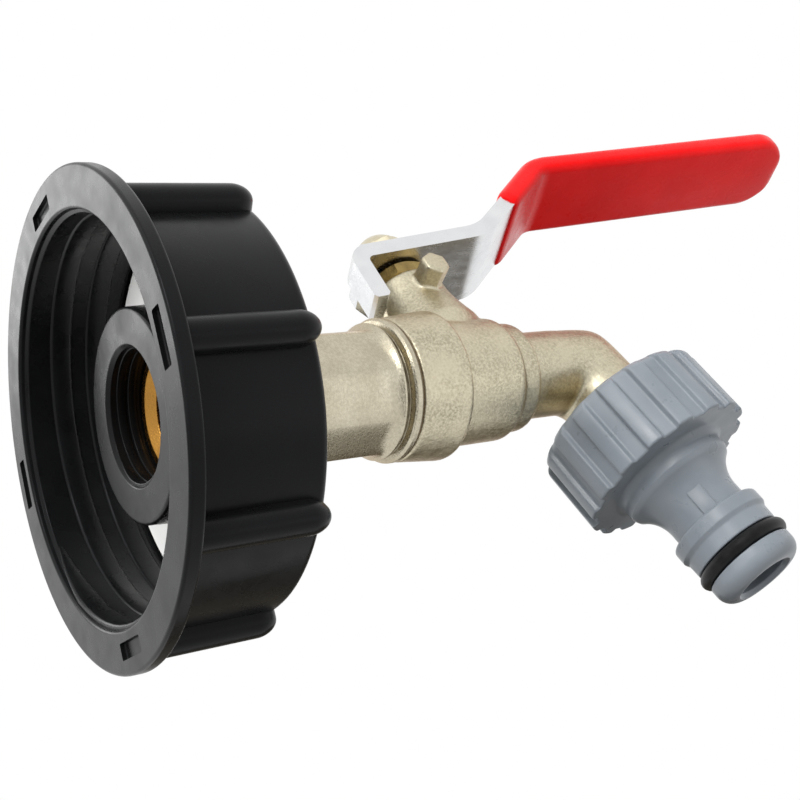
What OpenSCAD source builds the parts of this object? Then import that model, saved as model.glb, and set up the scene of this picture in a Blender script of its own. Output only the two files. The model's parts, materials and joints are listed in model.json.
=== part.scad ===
// Tap adapter for a 60 x 6 tank outlet, with a lever ball valve and a hose nipple.
// Millimetres. X runs from the cap's open face along the valve, Z up the stem.

/* [Cap] */

// Diameter of the cap's front flange
flange_d = 74.6; // [71:0.1:78]
// Thickness of the front flange
flange_t = 2.4; // [1.5:0.1:4]
// Wall of the drum outside the seal's recess
drum_wall = 2.2; // [1.6:0.1:3.5]
// Length of the cap from the open face to its closed back
cap_len = 22.5; // [21.5:0.1:28]
// Thickness of the closed back wall
back_t = 2.9; // [2:0.1:4]
// Number of grip ribs round the drum
rib_count = 8; // [4:1:12]
// Width of one grip rib
rib_w = 5; // [3:0.1:7]
// Diameter over the crests of the grip ribs
rib_over_d = 72; // [70:0.1:73]
// Length of a grip rib's domed end
rib_dome = 3.6; // [2:0.1:6]
// How far a grip rib stands past the cap's back
rib_past = 0.3; // [0:0.1:1]
// Angle of the first grip rib from the +Y side
rib_phase = 24.5; // [0:0.5:45]
// Number of shallow pockets in the flange face
pocket_count = 4; // [0:1:8]
// Depth of one pocket
pocket_depth = 0.9; // [0.3:0.1:1.5]
// Length of one pocket along the flange
pocket_len = 8.2; // [4:0.1:12]

/* [Tank thread] */

// Crest diameter of the female tank thread
crest_d = 56.9; // [56:0.1:58]
// Depth of the thread, from crest to root
thread_depth = 1.75; // [1.5:0.05:2]
// Axial distance from one thread turn to the next
pitch = 6; // [4:0.5:8]
// Slope of each thread flank from the plane across the axis
flank_angle = 30; // [15:1:40]
// Width of the groove along its root
root_flat = 1.9; // [1:0.1:2.5]
// Length of the plain recess for the seal, behind the thread
relief_len = 3.2; // [2.8:0.1:5]

/* [Hub] */

// Outside diameter of the hub at its free end
hub_d = 32.8; // [30:0.1:36]
// Distance from the cap's open face back to the hub's free end
hub_set_back = 7.35; // [5:0.05:10]
// Bore of the hub round the connector's male end, half inch pipe size
hub_bore_d = 20.9; // [20.8:0.05:21.2]
// Bore in front of the male end, at the crests of the hub's thread
hub_crest_d = 18.9; // [18.4:0.1:19.6]
// Length of the connector's male end in the hub
male_len = 9.6; // [8:0.1:12]

/* [Valve] */

// Width over the flats of the connector's octagon barrel
barrel_flats = 20.7; // [20:0.1:22]
// Length of the connector from the cap's back to the casting
barrel_len = 29.8; // [24:0.1:34]
// Distance from the casting's inlet face to the stem's axis
stem_reach = 15.7; // [15:0.1:18]
// Diameter of the casting round the ball
body_d = 26; // [25:0.1:28]
// Diameter of the casting's second step
mid_d = 21.9; // [21:0.1:24]
// Diameter of the casting's last step before the pipe
end_d = 19.6; // [18:0.1:21]
// Length of the casting's first step, from its inlet face
body_len = 9.6; // [9:0.1:12]
// Length of the casting's second step
mid_len = 12.75; // [10:0.05:15]
// Length of the casting's last step
end_len = 4.15; // [3:0.05:6]
// Distance over the ends of the two stop lugs
lugs_over = 23.4; // [20:0.1:26]
// Width of a stop lug over its corners
lug_w = 5.5; // [4.5:0.1:7]
// Diameter of the ball
ball_d = 17; // [16.4:0.1:17.2]
// Bore through the ball and the casting
flow_d = 10; // [8:0.1:10.4]
// Outside diameter of the outlet pipe
pipe_d = 15.8; // [14:0.1:16]
// Distance from the stem's axis to where the two pipe axes cross
elbow_reach = 27.7; // [26:0.1:34]
// How far inside the crossing the elbow's round corner is centred
corner_in = 1.7; // [1:0.1:2.6]
// Radius of the bend's centre line
bend_r = 8.3; // [8.2:0.1:10]
// Forward lean of the outlet from straight down
outlet_lean = 8.4; // [0:0.1:20]
// Diameter of the casting's male end, three quarter inch pipe size
male_d = 26.4; // [26:0.05:26.6]

/* [Stem] */

// Diameter of the stem's shaft
stem_d = 6; // [5:0.1:6.6]
// Diameter of the casting's neck
neck_d = 14.4; // [13.6:0.1:16]
// Height of the neck's top over the valve's axis
neck_top = 22.45; // [21:0.05:25]
// Width over the flats of the gland nut
gland_flats = 12; // [11:0.1:13]

/* [Lever] */

// Turn of the lever from the open position, towards the -Y side
lever_turn = 10.1; // [0:0.1:90]
// Height of the lever's underside over the valve's axis
lever_z = 26.1; // [25.8:0.1:28]
// Thickness of the lever strip
lever_t = 3.2; // [2:0.1:4]
// Width of the lever strip at the stem
lever_w = 16.8; // [15:0.1:20]
// Width of the lever strip in the grip
hand_w = 16.2; // [14:0.1:19]
// Slope of the lever's rising part
rise_angle = 36.2; // [20:0.2:50]
// Width over the flats of the lever nut
nut_flats = 11; // [10:0.1:12]
// Height of the lever nut with its dome
nut_h = 5.3; // [4:0.1:6]
// Thickness of the dipped grip over the strip
grip_skin = 0.8; // [0.5:0.1:1.4]

/* [Hose connector] */

// Diameter over the collar's ribs
collar_d = 33.8; // [31:0.1:36]
// Number of raised ribs round the collar
collar_ribs = 16; // [8:1:24]
// Height of one raised rib
collar_rib_h = 0.8; // [0.3:0.1:1.2]
// Length of the ribbed collar
collar_len = 15.4; // [13.4:0.1:20]
// Bore of the hose nipple
nipple_bore = 9.2; // [8.5:0.1:9.6]
// Diameter of the hose nipple
nipple_d = 16.4; // [15:0.1:17]
// Length of the hose nipple, from its ring flange to its nose
nipple_len = 13.1; // [12:0.1:14]
// Diameter of the drum under the collar
drum_under_d = 21; // [19:0.1:24]
// Diameter of the connector's neck at its thinnest
hose_neck_d = 14.2; // [13:0.1:15]
// Distance from the collar's face to the nipple's ring flange
neck_len = 12.1; // [11:0.1:14]
// Radius of the collar's rounded shoulder
shoulder = 2.4; // [1:0.1:3]
// Thickness of the nipple's rubber ring
ring_d = 2.5; // [2:0.1:3]

/* [Hidden] */

$fn = 64;

// Free gap between a turned shaft and its hole
run_gap = 0.05;
// Free gap round the soft seals
seal_gap = 0.3;

// Cap
back_in = cap_len - back_t;
relief_x = back_in - relief_len;
root_d = crest_d + 2*thread_depth;
relief_r = root_d/2 + 0.35;
drum_r = relief_r + drum_wall;
rib_top = rib_over_d/2;
gasket_t = 2.5;
male_tip = cap_len - male_len;

// Places along X, each counted from the one before
joint_x = cap_len + barrel_len;
stem_x = joint_x + stem_reach;
elbow_x = stem_x + elbow_reach;

// Valve
cavity_r = ball_d/2 + 0.25;
seat_r = 7.6;
seat_in = 5.2;
seat_far = 7.4;
spigot_r = 9.15;
spigot_end = stem_x - 5.5;
turn_angle = 90 - outlet_lean;
bend_start = elbow_x - bend_r*tan(turn_angle/2);
bend_run = bend_r*tan(turn_angle/2);
bend_lap = 1;
bend_step = 0.03;
collar_t0 = 10.6;
male_t0 = 11.4;
male_t1 = 21.6;
hose_washer_t = 2;

// Lengths along the outlet's axis, each counted from the one before
collar_t1 = collar_t0 + collar_len;
flange_t0 = collar_t1 + neck_len;
nose_t = flange_t0 + nipple_len;

// Rubber ring of the nipple, and its groove
ring_t = nose_t - 5.45;
ring_r = ring_d/2;
ring_w = ring_d + 0.3;
ring_floor = nipple_d/2 + 0.75 - ring_d;

neck_pad_phase = 134;

// Stem
box_r = 4.6;
box_floor = 15.5;
shoulder_r = 4.4;
shoulder_z0 = ball_d/2 + 0.8;
shoulder_z1 = 11.25;
throat_z = 12.3;
stem_flats = 4.6;
gland_z = 19;
gland_head = 3;
lever_top = lever_z + lever_t;

// Lever, as lengths along the strip's underside from the stem's axis
leg_x = -7.4;
rise_l0 = 18.4;
rise_l1 = 39.4;
rise_z1 = lever_z + (rise_l1 - rise_l0)*tan(rise_angle);
hand_angle = -3.3;
grip_l0 = 28;
tip_l = 102.6;
bend_in = 8;
hand_bend_in = 6;
leg_bend_in = 1.2;
leg_w = 5.8;
leg_end = 16;

// Points of an arc from angle a0 to a1
function arc(cx, cy, r, a0, a1, n = 6) =
    [for (i = [0:n]) let (a = a0 + (a1 - a0)*i/n) [cx + r*cos(a), cy + r*sin(a)]];

// Stands a profile of [radius, x] points up as a turned shape along X
module turned(pts) {
    rotate([0, 90, 0]) rotate_extrude($fn = 96) polygon(pts);
}

// A plain cylinder along X
module rod_x(r, x0, x1) {
    translate([x0, 0, 0]) rotate([0, 90, 0]) cylinder(r = r, h = x1 - x0, $fn = 96);
}

// Puts the children on the outlet's axis, with Z along the flow
module on_outlet() {
    translate([elbow_x, 0, 0]) rotate([0, 90 + turn_angle, 0]) children();
}

// Bend of a round bar, from the pipe to the outlet, let into the straight bars at both ends
module bend(r) {
    translate([bend_start, 0, -bend_r]) rotate([0, -90, -90]) rotate([0, 0, -bend_lap])
        rotate_extrude(angle = turn_angle + 2*bend_lap, $fn = 96)
            translate([bend_r, 0]) circle(r = r - bend_step, $fn = 96);
}

// Cutter for the helical groove of the tank thread, one section every 12 degrees
module thread_groove() {
    per_turn = 30;
    x_first = -1.2;
    steps = ceil((relief_x + 1.5 - x_first)/pitch*per_turn);
    r_in = crest_d/2 - 1;
    r_out = root_d/2;
    half_out = root_flat/2;
    half_in = half_out + (r_out - r_in)*tan(flank_angle);
    section = [[r_in, -half_in], [r_out, -half_out], [r_out, half_out], [r_in, half_in]];
    pts = [for (i = [0:steps], p = section)
        let (a = i*360/per_turn, x = x_first + pitch*i/per_turn)
        [x + p[1], p[0]*cos(a), p[0]*sin(a)]];
    sides = [for (i = [0:steps - 1], k = [0:3])
        let (a = 4*i + k, b = 4*i + (k + 1)%4) each [[a, b, b + 4], [a, b + 4, a + 4]]];
    last = 4*steps;
    polyhedron(pts, concat([[0, 3, 2], [0, 2, 1]],
        sides, [[last, last + 1, last + 2], [last, last + 2, last + 3]]));
}

// One grip rib of the cap: a round crest on straight sides with a domed end, kept out of the bore
module grip_rib() {
    r = rib_w/2;
    x0 = flange_t - 0.4;
    x1 = cap_len + rib_past - rib_dome;
    dome = [for (i = [0:6]) let (a = 15*i) [x1 + rib_dome*sin(a), r*cos(a)]];
    intersection() {
        union() {
            translate([0, 0, rib_top - r]) turned(concat([[0, x0], [r, x0]], [for (p = dome) [p[1], p[0]]]));
            translate([0, 0, rib_top - rib_w]) linear_extrude(height = r)
                polygon(concat([[x0, r]], dome, [for (i = [5:-1:0]) [dome[i][0], -dome[i][1]]], [[x0, -r]]));
        }
        translate([0, -r - 1, drum_r - drum_wall/2]) cube([cap_len + 4, rib_w + 2, rib_top]);
    }
}

module tank_cap() {
    color("#1d1e20") difference() {
        union() {
            turned(concat(
                [[crest_d/2, 2.2]],
                [[root_d/2 + 0.6, 0.9]], arc(root_d/2 + 1.5, 0.9, 0.9, 180, 270),
                [[flange_d/2 - 0.5, 0]], arc(flange_d/2 - 0.5, 0.5, 0.5, 270, 360, 3),
                arc(flange_d/2 - 0.5, flange_t - 0.5, 0.5, 0, 90, 3),
                arc(drum_r + 0.7, flange_t + 0.7, 0.7, 270, 180, 3),
                arc(drum_r - 0.8, cap_len - 0.8, 0.8, 0, 90, 3),
                [[hub_bore_d/2, cap_len], [hub_bore_d/2, male_tip], [hub_crest_d/2, male_tip],
                [hub_crest_d/2, hub_set_back + 1.6], [11.6, hub_set_back]],
                arc(hub_d/2 - 0.6, hub_set_back + 0.6, 0.6, 270, 360, 4),
                [[hub_d/2 + 0.6, back_in], [relief_r, back_in], [relief_r, relief_x],
                [crest_d/2, relief_x - 1]]));
            for (k = [0:rib_count - 1])
                rotate([rib_phase - 90 + k*360/rib_count, 0, 0]) grip_rib();
        }
        thread_groove();
        for (k = [0:pocket_count - 1])
            rotate([rib_phase - 90 + k*360/pocket_count, 0, 0])
                translate([-1, -pocket_len/2, flange_d/2 - 5]) cube([1 + pocket_depth, pocket_len, 2.5]);
    }
}

module tank_gasket() {
    color("#f4f3ef") turned([[hub_d/2 + 0.6 + seal_gap, back_in], [root_d/2 - seal_gap, back_in],
        [root_d/2 - seal_gap, back_in - gasket_t], [hub_d/2 + 0.6 + seal_gap, back_in - gasket_t]]);
}

module inlet_connector() {
    male_r = hub_bore_d/2 - run_gap;
    flat_r = barrel_flats/2;
    corner_r = flat_r + 0.65;
    flare_x = joint_x - 3.1;
    ring_out = body_d/2 - 0.7;
    seat_x = stem_x - seat_far;
    color("#cfc9ba") difference() {
        union() {
            turned([[0, male_tip], [male_r - 0.7, male_tip], [male_r, male_tip + 0.7],
                [male_r, cap_len], [0, cap_len]]);
            // Octagon barrel with its corners turned off, run into a round flare
            intersection() {
                translate([cap_len, 0, 0]) rotate([22.5, 0, 0]) rotate([0, 90, 0])
                    cylinder(r = flat_r/cos(22.5), h = flare_x - cap_len, $fn = 8);
                turned([[0, cap_len], [corner_r - 0.5, cap_len], [corner_r, cap_len + 0.7],
                    [corner_r, flare_x], [0, flare_x]]);
            }
            turned([[0, flare_x - 2.2], [flat_r - 0.4, flare_x - 2.2], [flat_r + 0.4, flare_x - 0.9],
                [ring_out - 0.7, flare_x - 0.2], [ring_out - 0.7, flare_x], [ring_out - 1.4, flare_x + 0.3],
                [ring_out - 1.4, flare_x + 1.1], [ring_out - 0.4, flare_x + 1.4],
                [ring_out, flare_x + 1.8], [ring_out, joint_x - 0.4], [ring_out - 0.25, joint_x],
                [0, joint_x]]);
            turned([[0, joint_x], [spigot_r, joint_x], [spigot_r, spigot_end - 0.5],
                [spigot_r - 0.5, spigot_end], [0, spigot_end]]);
        }
        turned([[0, male_tip - 1], [8.6, male_tip - 1], [7.2, male_tip + 1.4], [7.2, flare_x - 3.2],
            [flow_d/2, flare_x - 0.2], [flow_d/2, seat_x - 1], [0, seat_x - 1]]);
        rod_x(flow_d/2, seat_x - 2, seat_x + 1);
        rod_x(seat_r + run_gap, seat_x, spigot_end + 1);
    }
}

// Stop lug of the casting, a short hexagon stub out of the neck
module stop_lug() {
    translate([stem_x + 0.25, 0, neck_top - 3.6]) rotate([90, 0, 0]) rotate([0, 0, 30])
        cylinder(r = lug_w/2, h = lugs_over/2, $fn = 6);
}

module valve_body() {
    far = stem_x + seat_far;
    step_1 = joint_x + body_len;
    step_2 = step_1 + mid_len;
    step_3 = step_2 + end_len;
    color("#cdc8bb") difference() {
        union() {
            turned(concat(
                [[0, joint_x], [body_d/2 - 1, joint_x], [body_d/2 - 0.7, joint_x + 0.3]],
                arc(body_d/2 - 0.9, step_1 - 0.9, 0.9, 0, 90, 5),
                [[mid_d/2 + 0.3, step_1 + 0.05], [mid_d/2 + 0.1, step_1 + 0.3]],
                arc(mid_d/2 - 0.9, step_2 - 0.9, 0.9, 0, 90, 5),
                [[end_d/2 + 0.06, step_2 + 0.1]], arc(end_d/2 - 0.6, step_3 - 0.6, 0.6, 0, 90, 4),
                arc(pipe_d/2 + 0.5, step_3 + 0.6, 0.5, 270, 180, 3),
                [[pipe_d/2, bend_start], [0, bend_start]]));
            bend(pipe_d/2);
            // Round outer corner of the cast elbow
            translate([elbow_x - corner_in*sin(turn_angle/2), 0, -corner_in*cos(turn_angle/2)])
                sphere(r = pipe_d/2 - 0.06, $fn = 96);
            on_outlet() rotate_extrude($fn = 96) polygon(concat(
                [[0, bend_run], [pipe_d/2, bend_run], [pipe_d/2, male_t0],
                [male_d/2 - 0.6, male_t0], [male_d/2, male_t0 + 0.6], [male_d/2, male_t1 - 0.8],
                [male_d/2 - 0.8, male_t1], [0, male_t1]]));
            translate([stem_x, 0, 0]) rotate_extrude($fn = 96) polygon(concat(
                [[0, 3], [9.2, 3], [9.2, 9.6], [8.5, 12], [7.7, 15.4], [neck_d/2 + 0.1, 18]],
                arc(neck_d/2 - 0.7, neck_top - 0.7, 0.7, 0, 90, 4), [[0, neck_top]]));
            stop_lug();
            mirror([0, 1, 0]) stop_lug();
        }
        // Flow way, from the ball to the outlet
        rod_x(flow_d/2, stem_x, bend_start);
        bend(flow_d/2);
        on_outlet() translate([0, 0, bend_run]) cylinder(r = flow_d/2, h = 20, $fn = 96);
        // Connector's spigot, ball cavity and outlet seat, bored from the inlet
        rod_x(spigot_r + run_gap, joint_x - 1, spigot_end + 0.1);
        rod_x(cavity_r, spigot_end, stem_x + 5.9);
        rod_x(seat_r + run_gap, stem_x + 5, far);
        // Stem's shoulder, throat and packing box
        translate([stem_x, 0, 0]) {
            cylinder(r = shoulder_r + run_gap, h = throat_z);
            cylinder(r = stem_d/2 + run_gap, h = neck_top + 1);
            translate([0, 0, box_floor]) cylinder(r = box_r, h = neck_top);
        }
    }
}

// Puts the children in the lever's turn
module turned_lever() {
    translate([stem_x, 0, 0]) rotate([0, 0, -lever_turn]) children();
}

module ball() {
    color("#d9d9d6") turned_lever() difference() {
        sphere(r = ball_d/2, $fn = 96);
        rotate([0, 90, 0]) cylinder(r = flow_d/2, h = ball_d + 2, center = true, $fn = 96);
        translate([-ball_d, -1.55, 6.3]) cube([2*ball_d, 3.1, ball_d]);
    }
}

// Seat ring on the outlet side, hollowed to the ball
module seat() {
    difference() {
        rod_x(seat_r, 3.9, seat_far);
        rod_x(seat_in, 3, seat_far + 1);
        sphere(r = ball_d/2 + run_gap, $fn = 96);
    }
}

module seat_inlet() {
    color("#f2f1ec") translate([stem_x, 0, 0]) mirror([1, 0, 0]) seat();
}

module seat_outlet() {
    color("#f2f1ec") translate([stem_x, 0, 0]) seat();
}

module stem() {
    color("#c9b27a") turned_lever() union() {
        // Tang in the ball's slot
        intersection() {
            translate([-3.4, -1.5, 6.4]) cube([6.8, 3, shoulder_z0 - 6.4 + 0.5]);
            cylinder(r = shoulder_r, h = 20);
        }
        rotate_extrude() polygon([[0, shoulder_z0], [shoulder_r - 0.3, shoulder_z0],
            [shoulder_r, shoulder_z0 + 0.3], [shoulder_r, shoulder_z1], [stem_d/2, shoulder_z1],
            [stem_d/2, lever_z], [0, lever_z]]);
        // Flats that carry the lever, then the thread's end for the nut
        intersection() {
            translate([0, 0, lever_z - 0.1]) cylinder(r = stem_d/2, h = lever_t + 0.1);
            translate([-stem_flats/2, -stem_d, lever_z - 1]) cube([stem_flats, 2*stem_d, lever_t + 1]);
        }
        translate([0, 0, lever_top - 0.1]) cylinder(r = stem_flats/2, h = 3.6);
    }
}

module stem_washer() {
    color("#f2f1ec") translate([stem_x, 0, shoulder_z1 + run_gap]) difference() {
        cylinder(r = shoulder_r, h = throat_z - shoulder_z1 - run_gap);
        translate([0, 0, -1]) cylinder(r = stem_d/2 + run_gap, h = 4);
    }
}

module stem_packing() {
    color("#f2f1ec") translate([stem_x, 0, 0]) rotate_extrude() polygon([
        [stem_d/2 + run_gap, box_floor], [box_r, box_floor], [box_r, gland_z],
        [stem_d/2 + run_gap, gland_z]]);
}

module gland_nut() {
    color("#c8a85a") translate([stem_x, 0, 0]) difference() {
        union() {
            translate([0, 0, gland_z]) cylinder(r = box_r - run_gap, h = neck_top - gland_z + 0.1);
            intersection() {
                translate([0, 0, neck_top])
                    cylinder(r = gland_flats/2/cos(30), h = gland_head, $fn = 6);
                rotate_extrude() polygon([[0, neck_top], [gland_flats/2 + 0.3, neck_top],
                    [gland_flats/2 + 0.9, neck_top + 0.6],
                    [gland_flats/2 + 0.9, neck_top + gland_head - 0.7],
                    [gland_flats/2, neck_top + gland_head], [0, neck_top + gland_head]]);
            }
        }
        translate([0, 0, gland_z - 1]) cylinder(r = stem_d/2 + run_gap, h = 12);
    }
}

// Side view of the strip in [length, height] points, from l0 on, thicker by e on each face
module strip_side(e, whole) {
    c1 = [rise_l0 - (bend_in + lever_t)*tan(rise_angle/2), lever_z + bend_in + lever_t];
    half2 = (rise_angle - hand_angle)/2;
    s2 = [rise_l1 - hand_bend_in*tan(half2)*cos(rise_angle),
        rise_z1 - hand_bend_in*tan(half2)*sin(rise_angle)];
    c2 = [s2[0] + hand_bend_in*sin(rise_angle), s2[1] - hand_bend_in*cos(rise_angle)];
    n1 = [-sin(rise_angle), cos(rise_angle)];
    g = [grip_l0, lever_z + (grip_l0 - rise_l0)*tan(rise_angle)];
    last = tip_l + e;
    z_last = rise_z1 + (last - rise_l1)*tan(hand_angle);
    up = 1/cos(hand_angle);
    low_start = whole ? concat([[leg_x, lever_z]],
        arc(c1[0], c1[1], bend_in + lever_t, -90, -90 + rise_angle)) : [g - e*n1];
    top_start = whole ? concat(arc(c1[0], c1[1], bend_in, -90 + rise_angle, -90),
        [[leg_x, lever_top]]) : [g + (lever_t + e)*n1];
    polygon(concat(low_start,
        arc(c2[0], c2[1], hand_bend_in - e, 90 + rise_angle, 90 + hand_angle),
        [[last, z_last - e*up], [last, z_last + (lever_t + e)*up]],
        arc(c2[0], c2[1], hand_bend_in + lever_t + e, 90 + hand_angle, 90 + rise_angle),
        top_start));
}

// Strip's side view pulled out across its width, and trimmed to a plan outline
module strip(e, whole, w0, w1, tip_r) {
    last = tip_l + e;
    intersection() {
        rotate([90, 0, 0]) translate([0, 0, -20]) linear_extrude(height = 40) strip_side(e, whole);
        linear_extrude(height = 80) polygon(concat(
            [[leg_x - 1, -w0/2], [rise_l0, -w0/2], [grip_l0, -w1/2]],
            arc(last - tip_r, -w1/2 + tip_r, tip_r, -90, 0, 10),
            arc(last - tip_r, w1/2 - tip_r, tip_r, 0, 90, 10),
            [[grip_l0, w1/2], [rise_l0, w0/2], [leg_x + 3.5, w0/2], [leg_x, w0/2 - 3.5],
            [leg_x - 1, w0/2 - 4.5]]));
    }
}

module lever() {
    color("#dfe1e3") turned_lever() difference() {
        union() {
            strip(0, true, lever_w, hand_w, 6.6);
            // Stop leg, bent down at the strip's back edge on the near side
            rotate([90, 0, 0]) translate([0, 0, lever_w/2 - leg_w]) linear_extrude(height = leg_w)
                polygon(concat([[leg_x + leg_bend_in + 0.5, lever_z], [leg_x + leg_bend_in + 0.5, lever_top]],
                    arc(leg_x + leg_bend_in, lever_z - leg_bend_in, lever_t + leg_bend_in, 90, 180),
                    [[leg_x - lever_t, leg_end + 0.6], [leg_x - lever_t + 0.6, leg_end],
                    [leg_x - 0.6, leg_end], [leg_x, leg_end + 0.6]],
                    arc(leg_x + leg_bend_in, lever_z - leg_bend_in, leg_bend_in, 180, 90)));
        }
        // Hole with two flats for the stem
        intersection() {
            translate([0, 0, lever_z - 1]) cylinder(r = stem_d/2 + run_gap, h = 8);
            translate([-stem_flats/2 - run_gap, -stem_d, lever_z - 1])
                cube([stem_flats + 2*run_gap, 2*stem_d, 8]);
        }
    }
}

module lever_grip() {
    color("#c81f24") turned_lever() difference() {
        strip(grip_skin, false, hand_w + 2*grip_skin, hand_w + 2*grip_skin, 7.4);
        strip(0, true, lever_w, hand_w, 6.6);
    }
}

module lever_nut() {
    corner_r = nut_flats/2 + 0.85;
    dome_r = nut_flats/2 - 0.1;
    color("#cbb36a") turned_lever() difference() {
        intersection() {
            translate([0, 0, lever_top]) cylinder(r = nut_flats/2/cos(30), h = nut_h + 1, $fn = 6);
            rotate_extrude() polygon(concat([[0, lever_top], [corner_r - 0.45, lever_top],
                [corner_r, lever_top + 0.4], [corner_r, lever_top + nut_h - 2.8],
                [dome_r - 0.2, lever_top + nut_h - 2.1]],
                arc(0, lever_top + nut_h - dome_r, dome_r, 42, 90, 6)));
        }
        translate([0, 0, lever_top - 1]) cylinder(r = stem_flats/2 + run_gap, h = 1 + 3.7);
    }
}

module hose_connector() {
    floor_t = male_t1 + hose_washer_t;
    core_r = collar_d/2 - collar_rib_h;
    under_r = drum_under_d/2;
    neck_r = hose_neck_d/2;
    nose_r = nipple_d/2;
    sweep_r = 7.3;
    color("#8d959c") on_outlet() difference() {
        union() {
            rotate_extrude($fn = 96) polygon(concat([[0, collar_t0]],
                arc(core_r - shoulder, collar_t0 + shoulder, shoulder, 270, 360, 6),
                [[core_r, collar_t1 - 0.4], [core_r - 0.4, collar_t1]],
                arc(under_r + 1.5, collar_t1 + 1.5, 1.5, 270, 180, 4),
                [[under_r, collar_t1 + 2.9]],
                arc(neck_r + sweep_r, flange_t0 - 2.5, sweep_r, 236, 180, 7),
                [[neck_r, flange_t0], [nose_r + 0.3, flange_t0 + 0.2], [nose_r + 0.6, flange_t0 + 0.5],
                [nose_r + 0.6, flange_t0 + 2.5], [nose_r + 0.25, flange_t0 + 2.8],
                [nose_r, flange_t0 + 5.5],
                [nose_r, ring_t - ring_w/2], [ring_floor, ring_t - ring_w/2],
                [ring_floor, ring_t + ring_w/2], [nose_r, ring_t + ring_w/2]],
                arc(nose_r - 2.6, nose_t - 2.6, 2.6, 0, 90, 6), [[0, nose_t]]));
            for (k = [0, 180]) rotate([0, 0, neck_pad_phase + k]) neck_pad(neck_r);
            for (k = [0:collar_ribs - 1])
                rotate([0, 0, 1.4 + k*360/collar_ribs]) collar_rib(core_r);
        }
        translate([0, 0, collar_t0 - 1])
            cylinder(r = male_d/2 + run_gap, h = floor_t - collar_t0 + 1, $fn = 96);
        translate([0, 0, floor_t - 1]) cylinder(r = nipple_bore/2, h = nose_t, $fn = 96);
        translate([0, 0, nose_t - 0.6])
            cylinder(r1 = nipple_bore/2 - 0.1, r2 = nipple_bore/2 + 0.7, h = 0.8, $fn = 96);
    }
}

// One low raised pad on the connector's neck
module neck_pad(neck_r) {
    translate([neck_r - 0.6, -1.15, flange_t0 - 4.3]) cube([0.95, 2.3, 3.7]);
}

// One raised rib of the collar, which fades out over the shoulder
module collar_rib(core_r) {
    half = collar_d/2*tan(180/collar_ribs/2);
    rotate([90, 0, 0]) translate([0, 0, -half]) linear_extrude(height = 2*half)
        polygon(concat([[core_r - shoulder, collar_t1], [core_r - shoulder, collar_t0 + shoulder]],
            [for (i = [0:3]) let (a = 300 + 20*i, r = shoulder - 0.1 + (collar_rib_h + 0.1)*i/3)
                [core_r - shoulder + r*cos(a), collar_t0 + shoulder + r*sin(a)]],
            [[collar_d/2, collar_t1]]));
}

module connector_washer() {
    color("#202020") on_outlet() translate([0, 0, male_t1]) difference() {
        cylinder(r = male_d/2 - seal_gap, h = hose_washer_t);
        translate([0, 0, -1]) cylinder(r = nipple_bore/2 + 0.6, h = hose_washer_t + 2);
    }
}

module connector_oring() {
    color("#141414") on_outlet() translate([0, 0, ring_t]) rotate_extrude($fn = 96)
        translate([ring_floor + ring_r, 0]) circle(r = ring_r, $fn = 32);
}

tank_cap();
tank_gasket();
inlet_connector();
valve_body();
ball();
seat_inlet();
seat_outlet();
stem();
stem_washer();
stem_packing();
gland_nut();
lever();
lever_grip();
lever_nut();
hose_connector();
connector_washer();
connector_oring();
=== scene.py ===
# %% [markdown]
# # A tap adapter for a bulk tank
# The object is a black moulded cap that screws on a tank's outlet, a small plated brass ball
# valve with a red lever, and a grey push-on hose connector. The CAD model gives every place and
# size. This lesson dresses it: each visible piece is rebuilt with soft edges and real threads,
# gets a procedural finish, and then rides on the CAD body that it belongs to.

# %% Open the frame
import bpy
import bmesh
import json
import math
import numpy as np
from mathutils import Matrix, Vector

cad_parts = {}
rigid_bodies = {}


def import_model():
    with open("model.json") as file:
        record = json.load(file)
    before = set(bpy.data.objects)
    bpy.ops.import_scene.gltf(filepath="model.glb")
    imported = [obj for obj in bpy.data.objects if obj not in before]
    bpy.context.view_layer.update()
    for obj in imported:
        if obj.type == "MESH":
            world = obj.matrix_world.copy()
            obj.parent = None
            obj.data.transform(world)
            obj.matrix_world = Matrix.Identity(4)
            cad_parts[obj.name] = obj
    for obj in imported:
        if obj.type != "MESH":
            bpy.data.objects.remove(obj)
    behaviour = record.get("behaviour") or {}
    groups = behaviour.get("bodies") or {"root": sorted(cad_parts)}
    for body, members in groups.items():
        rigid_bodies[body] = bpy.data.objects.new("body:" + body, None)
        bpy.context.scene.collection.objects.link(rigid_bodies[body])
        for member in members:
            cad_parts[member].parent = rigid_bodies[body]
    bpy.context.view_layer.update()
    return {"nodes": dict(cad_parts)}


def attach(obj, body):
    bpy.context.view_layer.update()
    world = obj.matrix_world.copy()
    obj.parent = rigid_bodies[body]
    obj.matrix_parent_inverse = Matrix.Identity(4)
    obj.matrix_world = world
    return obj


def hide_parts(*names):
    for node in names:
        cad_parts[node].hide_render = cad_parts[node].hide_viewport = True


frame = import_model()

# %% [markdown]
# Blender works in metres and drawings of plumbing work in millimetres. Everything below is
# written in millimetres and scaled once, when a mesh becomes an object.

MM = 0.001
VALVE = "valve"
LEVER = "lever_set"
print("CAD nodes:", ", ".join(sorted(frame["nodes"])))

# %% [markdown]
# ## From a drawn corner to a moulded one
# Nothing real has a perfectly sharp edge, and it is the thin highlight along an edge that tells
# the eye so. `soften` takes the corners of a turned profile, each with the radius of its
# rounding, and returns points. It adds one support point on each side of an arc, so that smooth
# shading stays flat on the faces between the corners.

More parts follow.
